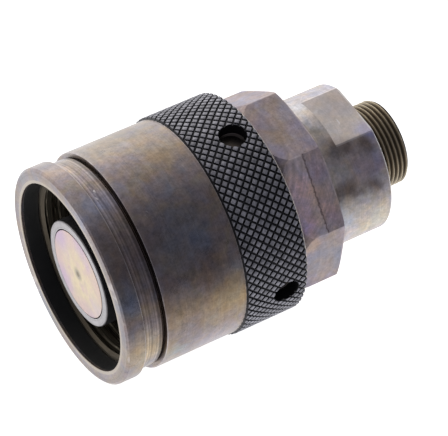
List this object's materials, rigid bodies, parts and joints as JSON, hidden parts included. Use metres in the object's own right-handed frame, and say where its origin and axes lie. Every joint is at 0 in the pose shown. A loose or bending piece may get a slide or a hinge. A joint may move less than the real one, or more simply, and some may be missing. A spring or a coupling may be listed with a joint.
{
  "type": "quick disconnect coupler",
  "caption": "Screw-to-connect hydraulic coupling half: threaded sleeve with knurled grip ring, flat-face nose with sprung poppet, octagon body and male tube port.",
  "frame": {"origin": "centre of the shoulder face that the port stud stands on", "axes": "+X along the common axis from the mouth to the port, +Z square to the adapter's upper wrench flat"},
  "size_m": [0.1058, 0.0668, 0.0668],
  "materials": {
    "plated_steel": "turned steel with a heat-tinted bronze, grey and purple passivation",
    "black_steel": "black oxide, diamond knurled, semi-matt",
    "nose_steel": "ground face, dark phosphated side",
    "gilt_steel": "lapped face with a cream, yellow and pink tint",
    "bright_steel": "turned, oiled",
    "spring_steel": "dark spring steel",
    "ball_steel": "polished bearing balls",
    "black_rubber": "moulded nitrile rubber",
    "white_ptfe": "PTFE, waxy"
  },
  "bodies": {
    "body": {"valve_body": "plated_steel", "sleeve_wiper": "black_rubber", "nose_tube": "nose_steel", "nose_seal": "black_rubber", "nose_backup_ring": "white_ptfe", "poppet_seal": "black_rubber", "poppet_backup_ring": "white_ptfe", "poppet_guide": "bright_steel", "poppet_spring": "spring_steel", "adapter": "plated_steel", "adapter_seal": "black_rubber", "adapter_backup_ring": "white_ptfe"},
    "sleeve": {"threaded_sleeve": "plated_steel", "grip_ring": "black_steel", "grip_retaining_ring": "spring_steel", "drive_pins": "bright_steel", "ball_plug": "bright_steel", "dust_ring": "black_rubber"},
    "ball_row": {"race_balls": "ball_steel"},
    "poppet": {"poppet_head": "gilt_steel", "poppet_stem": "bright_steel", "stem_nut": "bright_steel"}
  },
  "joints": [
    {"name": "sleeve_spin", "type": "hinge", "parent": "body", "child": "sleeve", "pos_m": [-0.05, 0, 0], "axis": [1, 0, 0], "continuous": true},
    {"name": "ball_row_spin", "type": "hinge", "parent": "body", "child": "ball_row", "pos_m": [-0.05, 0, 0], "axis": [1, 0, 0], "continuous": true},
    {"name": "poppet_slide", "type": "slide", "parent": "body", "child": "poppet", "axis": [1, 0, 0], "range_m": [0, 0.009], "stiffness_N_per_m": 3000, "springref_m": -0.006, "deforming": ["poppet_spring"]}
  ],
  "couplings": [
    {"joint": "ball_row_spin", "follows": "sleeve_spin", "ratio": 0.5}
  ]
}
